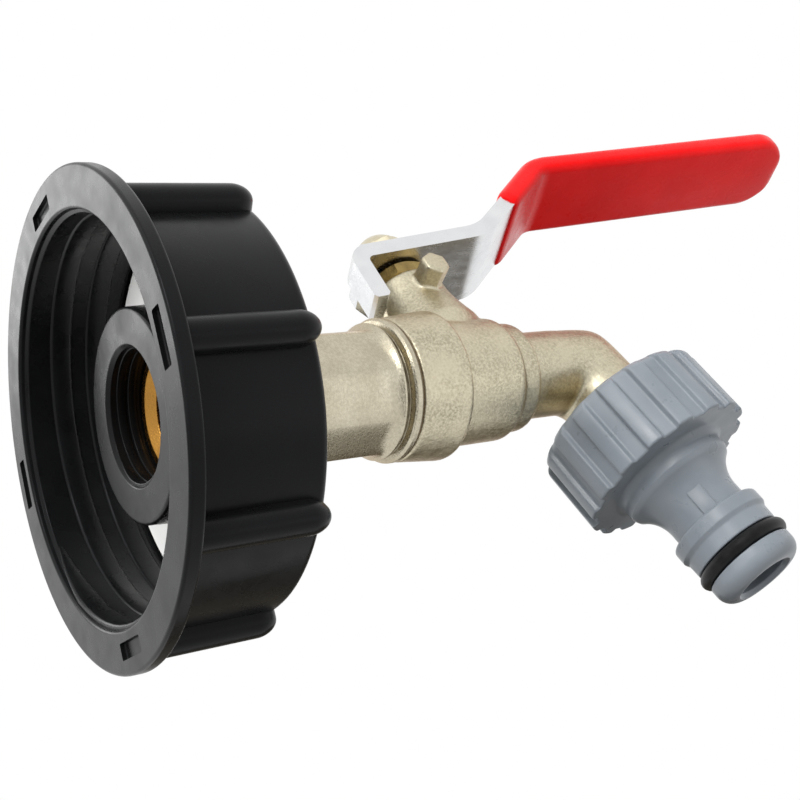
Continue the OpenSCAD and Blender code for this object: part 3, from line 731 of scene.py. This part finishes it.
cap_section = soften([
    (30.2, 1.35, 0.3), (30.75, 0.95, 0.1), (30.85, 0, 0.8),
    (FLANGE_RADIUS, 0, 0.5), (FLANGE_RADIUS, FLANGE, 0.5), (DRUM_RADIUS, FLANGE, 0.7),
    (DRUM_RADIUS, CAP_LENGTH, 1.1), (10.45, CAP_LENGTH, 0.2), (10.45, 12.9, 0), (10.3, 12.8, 0),
    (10.3, 7.95, 0.2), (10.85, 7.35, 0.3), (16.4, 7.35, 0.6), (17.0, 19.6, 0.4),
    (30.55, 19.6, 0.4), (30.55, 16.5, 0.1), (30.2, 16.3, 0.1)])
print("cap section:", len(cap_section), "points")

# %% Turn the cap and sink its pockets
bm = bmesh.new()
lathe(bm, cap_section, steps=192)
cap_shell = make("cap_shell", bm, cap_black)
for k in range(4):
    pocket = soft_block((-1.0, 32.3, -4.1), (0.9, 34.8, 4.1), 0.3)
    pocket.transform(Matrix.Rotation(FIRST_RIB + k * math.pi / 2, 4, "X"))
    pocket.transform(Matrix.Scale(MM, 4))
    cutter = bpy.data.objects.new("pocket_cutter", pocket)
    bpy.context.scene.collection.objects.link(cutter)
    cut = cap_shell.modifiers.new("pocket", "BOOLEAN")
    cut.operation, cut.solver, cut.object = "DIFFERENCE", "EXACT", cutter
pocketed = bpy.data.meshes.new_from_object(cap_shell.evaluated_get(bpy.context.evaluated_depsgraph_get()))
cap_shell.modifiers.clear()
cap_shell.data = pocketed
for cutter in [o for o in bpy.data.objects if o.name.startswith("pocket_cutter")]:
    bpy.data.objects.remove(cutter)
pocketed.materials.clear()
pocketed.materials.append(cap_black.material)
pocketed.set_sharp_from_angle(angle=math.radians(34))
print("cap shell:", len(pocketed.polygons), "faces")

# %% [markdown]
# The grip ribs are half round bars with straight sides below. Each ends in a long dome, just
# past the cap's back.

# %% Grip ribs
RIB_RADIUS, DOME, RIB_AXIS, RIB_FOOT = 2.5, 3.6, 33.5, 31.65
RIB_TIP = CAP_LENGTH + 0.3


def rib_bar():
    plan = [(1.9, RIB_RADIUS)] + [(RIB_TIP - DOME + DOME * math.sin(a), RIB_RADIUS * math.cos(a))
                                  for a in [math.pi / 2 * i / 14 for i in range(15)]]
    bm = bmesh.new()
    rows = []
    for x, half in plan:
        half = max(half, 0.02)
        row = [(x, RIB_FOOT, -half)]
        row += [(x, RIB_AXIS + half * math.sin(math.pi * i / 16), -half * math.cos(math.pi * i / 16)) for i in range(17)]
        row += [(x, RIB_FOOT, half)]
        rows.append([bm.verts.new(spot) for spot in row])
    for one, two in zip(rows, rows[1:]):
        for a in range(len(one) - 1):
            bm.faces.new((one[a], one[a + 1], two[a + 1], two[a]))
    bm.faces.new(rows[0])
    bm.faces.new(rows[-1])
    mesh = bpy.data.meshes.new("bar")
    bm.to_mesh(mesh)
    bm.free()
    return mesh



cap_ribs = grow("cap_ribs", AROUND, {"Count": 8, "First angle": FIRST_RIB}, cap_black, rib_bar())

# %% [markdown]
# The tank thread has a 6 mm pitch and right hand turns. It starts just inside the mouth and
# stops before the seal. The hub's thread is the common half inch pipe thread.

# %% Threads
tank_thread = grow("tank_thread", RIDGE, {
    "Turns": 2.28, "Root radius": 30.2, "Pitch": 6.0, "Depth": 1.75, "Crest width": 2.08,
    "Root width": 4.45, "Rounding": 0.5, "Sink": 0.3, "Run out": 0.03}, cap_black,
    place=Matrix.Translation((1.8, 0, 0)) @ TURN_TO_X, sharp=50)
hub_thread = grow("hub_thread", RIDGE, {
    "Turns": 2.6, "Root radius": 10.3, "Pitch": 1.814, "Depth": 0.85, "Crest width": 0.35,
    "Root width": 1.6, "Rounding": 0.14, "Sink": 0.2, "Run out": 0.03}, cap_black,
    place=Matrix.Translation((8.1, 0, 0)) @ TURN_TO_X, sharp=50)

# %% [markdown]
# ## The seal and the inlet connector
# The white seal lies flat on the cap's floor, round the hub. The connector is bar stock turned
# to an octagon barrel: its flats come from a rule that trims the radius, and the rule fades out
# where the barrel flares into a round collar. A groove and a polished ring end it at the casting.

# %% Seal
bm = bmesh.new()
lathe(bm, soften([(17.3, 17.1, 0.35), (29.9, 17.1, 0.35), (29.9, 19.6, 0.3), (17.3, 19.6, 0.3)]), steps=160)
seal_ring = make("seal_ring", bm, seal_white)

# %% Inlet connector
FLATS, CORNER = 20.7 / 2, 11.0
BARREL_START, BARREL_END = CAP_LENGTH, 48.4


def trimmed(r, flats, sides, angle, fade=1.0, edge=0.05):
    half = math.pi / sides
    flat = flats / math.cos((angle + half) % (2 * half) - half)
    soft = -edge * math.log(math.exp(-flat / edge) + math.exp(-(r + 0.4 * edge) / edge))
    return r - max(0.0, r - soft) * fade


def octagon(r, x, angle):
    if not BARREL_START < x < BARREL_END or r < FLATS:
        return r, x
    return trimmed(r, FLATS, 8, angle, min(1.0, max(0.0, (BARREL_END - x) / 1.2)), 0.3), x


barrel = [(10.45, BARREL_START, 0.1), (10.55, BARREL_START + 0.05, 0), (CORNER, 23.2, 0.3),
          (CORNER, 46.4, 0), (CORNER, 47.0, 0), (CORNER, 47.5, 0), (CORNER, 48.0, 0), (11.2, 48.5, 0), (11.6, 48.95, 0.15), (11.6, 49.3, 0.15)]
connector_section = soften([(8.6, 12.9, 0.3), (9.75, 12.9, 0.15), (10.4, 13.6, 0.15), (10.4, BARREL_START - 0.05, 0)]
                           + barrel + [
    (10.9, 49.55, 0.2), (10.9, 50.3, 0.2), (11.9, 50.6, 0.2), (12.3, 51.0, 0.3), (12.3, 51.9, 0.3),
    (12.05, 52.3, 0.1), (9.15, 52.3, 0), (9.15, 62.0, 0.2), (8.65, 62.5, 0.1), (7.65, 62.5, 0.1),
    (7.65, 60.6, 0), (5.0, 60.6, 0.2), (5.0, 49.0, 0.8), (7.2, 46.0, 0.8), (7.2, 14.3, 0.4)])
bm = bmesh.new()
lathe(bm, connector_section, steps=256, rule=octagon)
inlet_barrel = make("inlet_barrel", bm, turned_nickel)

# %% [markdown]
# ## The casting
# The valve's body is a casting: every edge is a little melted and every inner corner is filled.
# A copy of the CAD solid is rebuilt on a fine even grid. Then each point of the grid is pulled
# towards its neighbours, but only where the surface bends more sharply than a casting can. So
# the corners melt to a chosen radius and the round walls stay where they are. Before that, the
# outer side of the elbow is pushed out towards a mitred corner, which the photograph shows.

# %% A copy of a CAD solid, in millimetres
def solid_copy(node):
    bm = bmesh.new()
    bm.from_mesh(frame["nodes"][node].data)
    bmesh.ops.scale(bm, vec=(1 / MM,) * 3, verts=bm.verts)
    bmesh.ops.remove_doubles(bm, verts=bm.verts, dist=0.002)
    return bm


# %% Grid and melt
def melt(mesh, cell, edge_radius, hollow_radius, passes):
    count = len(mesh.vertices)
    place = np.empty(count * 3)
    mesh.vertices.foreach_get("co", place)
    place = place.reshape(-1, 3)
    ends = np.empty(len(mesh.edges) * 2, dtype=np.int64)
    mesh.edges.foreach_get("vertices", ends)
    a, b = ends.reshape(-1, 2).T
    degree = np.bincount(ends, minlength=count)[:, None]
    normal = np.empty(count * 3)
    for step in range(passes):
        if step % 6 == 0:
            mesh.vertices.foreach_set("co", place.ravel())
            mesh.update()
            mesh.vertices.foreach_get("normal", normal)
            facing = normal.reshape(-1, 3)
        around = np.stack([np.bincount(a, place[b, i], count) + np.bincount(b, place[a, i], count)
                           for i in range(3)], axis=1) / degree
        pull = around - place
        lift = (pull * facing).sum(1)
        free = (lift < -cell * cell / (4 * edge_radius)) | (lift > cell * cell / (4 * hollow_radius)) | (step < 3)
        place += pull * (0.5 * free)[:, None]
    mesh.vertices.foreach_set("co", place.ravel())
    mesh.update()


BEND_X, BEND_Z, BEND_TURN, PIPE_RADIUS, CORNER_SOFT = 88.537, -8.3, math.radians(81.6), 7.9, 0.2


def fill_elbow(mesh):
    for v in mesh.vertices:
        out, rise = v.co.x - BEND_X, v.co.z - BEND_Z
        radius, angle = math.hypot(out, rise), math.atan2(out, rise)
        wall = math.hypot(radius + BEND_Z, v.co.y)
        if not 0 < angle < BEND_TURN or wall < 7 or radius < -BEND_Z or abs(v.co.y) > PIPE_RADIUS:
            continue
        one, two = math.cos(angle), math.cos(BEND_TURN - angle)
        mitre = 0.5 * (one + two + math.hypot(one - two, CORNER_SOFT))
        full = (math.sqrt(PIPE_RADIUS ** 2 - v.co.y ** 2) - BEND_Z) / mitre
        if full > radius:
            v.co.x, v.co.z = BEND_X + out * full / radius, BEND_Z + rise * full / radius


def cast(name, node, finish, cell, edge_radius, hollow_radius, passes=60):
    mesh = bpy.data.meshes.new(name)
    bm = solid_copy(node)
    bm.to_mesh(mesh)
    bm.free()
    carrier = bpy.data.objects.new(name + "_carrier", mesh)
    bpy.context.scene.collection.objects.link(carrier)
    grid = carrier.modifiers.new("grid", "REMESH")
    grid.mode, grid.voxel_size = "VOXEL", cell
    fine = bpy.data.meshes.new_from_object(carrier.evaluated_get(bpy.context.evaluated_depsgraph_get()))
    bpy.data.objects.remove(carrier)
    fill_elbow(fine)
    melt(fine, cell, edge_radius, hollow_radius, passes)
    bm = bmesh.new()
    bm.from_mesh(fine)
    return make(name, bm, finish, sharp=180)


casting = cast("valve_casting", "valve_body", cast_nickel, 0.35, 0.25, 0.55)

# %% [markdown]
# ## The lever and the small hardware
# The lever is pressed from a steel strip, so its edges have a small even radius: a bevel on a
# merged copy of the CAD solid. The gland nut gets a finer one. The Weighted Normal modifier keeps the
# flats flat between their rounded edges.

# %% Bevelled copies
def bevelled(name, node, finish, width, parts=3, corner=28):
    bm = solid_copy(node)
    bmesh.ops.dissolve_limit(bm, angle_limit=math.radians(1.5), verts=bm.verts, edges=bm.edges)
    limit = math.radians(corner)
    crisp = [e for e in bm.edges if len(e.link_faces) == 2 and e.calc_face_angle() > limit]
    bmesh.ops.bevel(bm, geom=crisp, offset=width, segments=parts, profile=0.5, affect="EDGES",
                    clamp_overlap=True)
    obj = make(name, bm, finish, sharp=40)
    obj.modifiers.new("flats", "WEIGHTED_NORMAL").keep_sharp = True
    return obj


lever_strip = bevelled("lever_strip", "lever", zinc, 0.45)
gland = bevelled("gland_hexagon", "gland_nut", brass_dark_for_shade, 0.2, 2)
LEVER_PLACE = Matrix.Translation((68, 0, 0)) @ Matrix.Rotation(math.radians(-10.1), 4, "Z")
X_TO_Z = Matrix(((0, 1, 0, 0), (0, 0, 1, 0), (1, 0, 0, 0), (0, 0, 0, 1)))

# %% [markdown]
# The lever's nut is a domed cap nut. Its top shows over the lever's edge in the photograph, so
# it is turned to its full height here: a hexagon under a half round dome.

# %% Domed nut
NUT_FLATS, NUT_SEAT, NUT_SHOULDER, DOME_RADIUS, DOME_CENTRE = 5.5, 29.3, 3.75, 5.0, 3.1


def hexagon(r, x, angle):
    return (trimmed(r, NUT_FLATS, 6, angle) if r > NUT_FLATS and x < NUT_SHOULDER else r), x


first = math.asin((NUT_SHOULDER - DOME_CENTRE) / DOME_RADIUS)
dome = [Vector((DOME_RADIUS * math.cos(a), DOME_CENTRE + DOME_RADIUS * math.sin(a)))
        for a in [first + (math.pi / 2 - first) * i / 16 for i in range(16)]]
nut_section = [Vector((0, 0))] + soften([(2, 0, 0), (5.9, 0, 0.2), (6.3, 0.35, 0.2), (6.3, 3.35, 0.2),
                                         (5.6, NUT_SHOULDER - 0.02, 0.1), (5.2, NUT_SHOULDER, 0)])
nut_section += dome + [Vector((0, DOME_CENTRE + DOME_RADIUS))]
bm = bmesh.new()
lathe(bm, nut_section, steps=120, rule=hexagon)
lever_nut_dome = make("lever_nut_dome", bm, yellow_zinc, LEVER_PLACE @ Matrix.Translation((0, 0, NUT_SEAT)) @ X_TO_Z)

# %% [markdown]
# ## The dipped grip
# The red skin follows the strip at 0.8 mm, round the upper bend and over the tip, and starts in
# a thin soft lip where the dipping stopped. It is swept along the strip's middle line: at each
# station a rounded section gets the width and height that the skin has there. An inner wall
# makes it a real sock and not a block.

# %% Middle line of the strip
RISE, HAND = math.radians(36.2), math.radians(-3.3)
STRIP, SKIN = 3.2, 0.8
corner = Vector((39.4, 26.1 + 21 * math.tan(RISE)))
bend_inside = 6.0
run = bend_inside * math.tan((RISE - HAND) / 2)
rise_way, hand_way = Vector((math.cos(RISE), math.sin(RISE))), Vector((math.cos(HAND), math.sin(HAND)))
rise_up = Vector((-math.sin(RISE), math.cos(RISE)))
bend_start = corner - rise_way * run
bend_centre = bend_start - rise_up * bend_inside
grip_start = Vector((28, 26.1 + 9.6 * math.tan(RISE)))
straight = (bend_start - grip_start).length
middle_bend = (bend_inside + STRIP / 2) * (RISE - HAND)
tip_reach = 102.45 + SKIN
hand_start = corner + hand_way * run
hand_length = (tip_reach - hand_start.x) / math.cos(HAND)
grip_length = straight + middle_bend + hand_length


def middle(s):
    if s < straight:
        return grip_start + rise_way * s + rise_up * (STRIP / 2), rise_up
    if s < straight + middle_bend:
        angle = math.pi / 2 + RISE - (s - straight) / (bend_inside + STRIP / 2)
        out_way = Vector((math.cos(angle), math.sin(angle)))
        return bend_centre + out_way * (bend_inside + STRIP / 2), out_way
    hand_up = Vector((-math.sin(HAND), math.cos(HAND)))
    return hand_start + hand_way * (s - straight - middle_bend) + hand_up * (STRIP / 2), hand_up


print("grip follows", round(grip_length, 1), "mm of strip")

# %% Sweep the sock
TIP_RADIUS, EDGE_RADIUS, HALF_WIDTH = 7.6, 1.7, 8.9


def section_ring(half_width, half_height, corner_radius, parts=5):
    radius = min(corner_radius, half_width * 0.98, half_height * 0.98)
    ring = []
    for k, (sx, sz) in enumerate(((1, 1), (-1, 1), (-1, -1), (1, -1))):
        for i in range(parts + 1):
            a = math.pi / 2 * (k + i / parts)
            ring.append((sx * (half_width - radius) + radius * math.cos(a),
                         sz * (half_height - radius) + radius * math.sin(a)))
    return ring


def grip_station(s, skin):
    back = grip_length - (SKIN - skin) - s
    half_width, half_height = HALF_WIDTH - SKIN + skin, STRIP / 2 + skin
    tip = TIP_RADIUS - SKIN + skin
    if back < tip:
        half_width -= tip - math.sqrt(max(0.0, tip ** 2 - (tip - back) ** 2))
    soft = max(0.2, EDGE_RADIUS - SKIN + skin)
    if back < soft:
        half_height -= 0.8 * (soft - math.sqrt(max(0.0, soft ** 2 - (soft - back) ** 2)))
    return half_width, half_height - 0.03, soft


def wall(bm, skin_at, stations):
    rings = []
    for s in stations:
        point, way = middle(s)
        half_width, half_height, soft = grip_station(s, skin_at(s))
        ring = []
        for across, height in section_ring(half_width, half_height, soft):
            spot = point + way * height
            ring.append(bm.verts.new((spot.x, across, spot.y)))
        rings.append(ring)
    for one, two in zip(rings, rings[1:]):
        for k in range(len(one)):
            n = (k + 1) % len(one)
            bm.faces.new((one[k], one[n], two[n], two[k]))
    bm.faces.new(rings[-1])
    return rings[0]


def lip(s):
    if s > 1.8:
        return SKIN
    return 0.1 + (SKIN - 0.1) * math.sqrt(1 - (1 - s / 1.8) ** 2)


body_stations = [straight + middle_bend * i / 10 for i in range(11)] + [
    straight + middle_bend + (hand_length - TIP_RADIUS) * i / 12 for i in range(1, 13)]
tip_stations = [grip_length - TIP_RADIUS + TIP_RADIUS * math.sin(math.pi / 2 * i / 14) for i in range(1, 15)]
lip_stations = [1.8 * (1 - math.cos(math.pi / 2 * i / 6)) for i in range(7)] + [4.0]
bm = bmesh.new()
outer = wall(bm, lip, lip_stations + body_stations + tip_stations)
inner_length = grip_length - SKIN
inner_radius = TIP_RADIUS - SKIN
inner_tip = [inner_length - inner_radius + inner_radius * math.sin(math.pi / 2 * i / 10) for i in range(1, 11)]
inner = wall(bm, lambda s: 0.0,
             [0, 4.0] + [s for s in body_stations if s < inner_length - inner_radius] + inner_tip)
for k in range(len(outer)):
    n = (k + 1) % len(outer)
    bm.faces.new((outer[n], outer[k], inner[k], inner[n]))
grip_sock = make("grip_sock", bm, grip_red, LEVER_PLACE, sharp=60)

# %% [markdown]
# ## The hose connector
# The connector hangs on the outlet and leans forward with it. It is turned about X like the
# rest, then set in its place by one matrix that lays X along the water's way. A rule raises the
# collar's sixteen ribs, as wide as the gaps between them, and lets them fade out over its
# rounded shoulder. The lathe's angles lie close together at each rib's two edges.

# %% Outlet place
LEAN = math.radians(8.4)
down, side = Vector((math.sin(LEAN), 0, -math.cos(LEAN))), Vector((-math.cos(LEAN), 0, -math.sin(LEAN)))
OUTLET = Matrix((down, side, Vector((0, 1, 0)))).transposed().to_4x4()
OUTLET.translation = Vector((95.7, 0, 0))


def arc(r, x, radius, first, last, parts=6):
    return [(r + radius * math.cos(math.radians(first + (last - first) * i / parts)),
             x + radius * math.sin(math.radians(first + (last - first) * i / parts)), 0) for i in range(parts + 1)]


COLLAR_CORE, COLLAR_OVER, COLLAR_TOP, COLLAR_END = 15.8, 16.9, 10.6, 26.0
SHOULDER, NECK, NOSE = 2.4, 7.1, 8.2
nipple_section = soften(
    [(13.25, COLLAR_TOP, 0.25)]
    + arc(COLLAR_CORE - SHOULDER, COLLAR_TOP + SHOULDER, SHOULDER, 270, 360, 8)
    + [(COLLAR_CORE, COLLAR_END, 0.4), (10.5, COLLAR_END, 1.5), (10.5, 28.95, 0.25)]
    + arc(14.4, 35.6, 7.3, 234, 182, 14)
    + [(NECK, 38.2, 0.35), (8.8, 38.3, 0.5), (8.8, 40.8, 0.5), (8.3, 41.6, 0.8), (NOSE, 44.35, 0.3), (6.45, 44.35, 0.2),
       (6.45, 47.15, 0.2), (NOSE, 47.15, 0.25)] + arc(5.6, 48.58, 2.6, 0, 90, 8)
    + [(5.3, 51.18, 0.25), (4.6, 50.5, 0.4), (4.6, 23.6, 0.2), (13.25, 23.6, 0.3)])
RIBS, FIRST_COLLAR_RIB = 16, math.radians(1.4)
RIB_EDGE = ((0, 1), (2.5, 0.99), (4.3, 0.95), (4.9, 0.90), (5.3, 0.78), (5.7, 0.5), (6.1, 0.20), (6.5, 0.06),
            (7.0, 0), (8.0, 0), (9.6, 0), (11.25, 0))
half_turn = [math.radians(a) for a, _ in RIB_EDGE]
rib_angles = sorted(half_turn + [-a for a in half_turn[1:-1]])
collar_angles = [FIRST_COLLAR_RIB + 2 * math.pi * k / RIBS + a for k in range(RIBS) for a in rib_angles]


def ribbed(r, x, angle):
    if r < COLLAR_CORE - SHOULDER or not COLLAR_TOP <= x <= COLLAR_END + 0.01:
        return r, x
    if x > COLLAR_END - 0.01 and r < COLLAR_CORE - 0.6:
        return r, x
    pitch = 2 * math.pi / RIBS
    off = abs((angle - FIRST_COLLAR_RIB + pitch / 2) % pitch - pitch / 2)
    height = float(np.interp(off, half_turn, [h for _, h in RIB_EDGE]))
    climb = min(1.0, max(0.0, 1 - (COLLAR_TOP + SHOULDER - x) / SHOULDER))
    return r + (COLLAR_OVER - COLLAR_CORE) * height * math.sin(math.pi / 2 * climb), x


bm = bmesh.new()
lathe(bm, nipple_section, rule=ribbed, angles=collar_angles)
nipple = make("connector_turning", bm, grey, OUTLET, sharp=50)

# %% [markdown]
# Two low pads lie along the neck and run into its flange. The tree that set the cap's ribs sets
# them too.

# %% Neck pads
pad = soft_block((33.2, 6.5, -1.45), (38.4, 7.42, 1.45), 0.25)
neck_pads = grow("neck_pads", AROUND, {"Count": 2, "First angle": math.radians(134)}, grey, pad, OUTLET)

# %% Rubber ring
bm = bmesh.new()
lathe(bm, [(r, x) for r, x, _ in arc(7.7, 45.75, 1.25, 0, 337.5, 15)], steps=128)
rubber_ring = make("rubber_ring", bm, rubber, OUTLET, sharp=180)

# %% [markdown]
# ## Finishes on the CAD pieces that stay
# The ball, its seats and the stem's seals sit inside the valve. Their CAD shapes are right, so
# they only get their finishes.

# %% Inner pieces
for node, finish in (("ball", ball_plate), ("seat_inlet", waxy), ("seat_outlet", waxy), ("stem", brass_dark_for_shade),
                     ("stem_washer", waxy), ("stem_packing", waxy), ("connector_washer", rubber)):
    for held in frame["nodes"][node].material_slots:
        held.material = finish.material
    print(node, "wears", finish.material.name)

# %% [markdown]
# ## Every piece rides on its body
# The valve's pieces stay still and the lever's turn with it. Each new piece says which CAD node
# it stands for and which finish slot of the record it uses.

# %% Ride and replace
for piece, body, node, slot_name in (
        (cap_shell, VALVE, "tank_cap", "cap_plastic"), (cap_ribs, VALVE, "tank_cap", "cap_plastic"),
        (tank_thread, VALVE, "tank_cap", "cap_plastic"), (hub_thread, VALVE, "tank_cap", "cap_plastic"),
        (seal_ring, VALVE, "tank_gasket", "white_seal"),
        (inlet_barrel, VALVE, "inlet_connector", "polished_nickel"),
        (casting, VALVE, "valve_body", "cast_nickel"), (gland, VALVE, "gland_nut", "bare_brass"),
        (lever_strip, LEVER, "lever", "zinc_steel"), (lever_nut_dome, LEVER, "lever_nut", "yellow_zinc"),
        (grip_sock, LEVER, "lever_grip", "red_grip"),
        (nipple, VALVE, "hose_connector", "grey_plastic"),
        (neck_pads, VALVE, "hose_connector", "grey_plastic"),
        (rubber_ring, VALVE, "connector_oring", "black_rubber")):
    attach(piece, body)
    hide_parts(node)
print("pieces dressed")
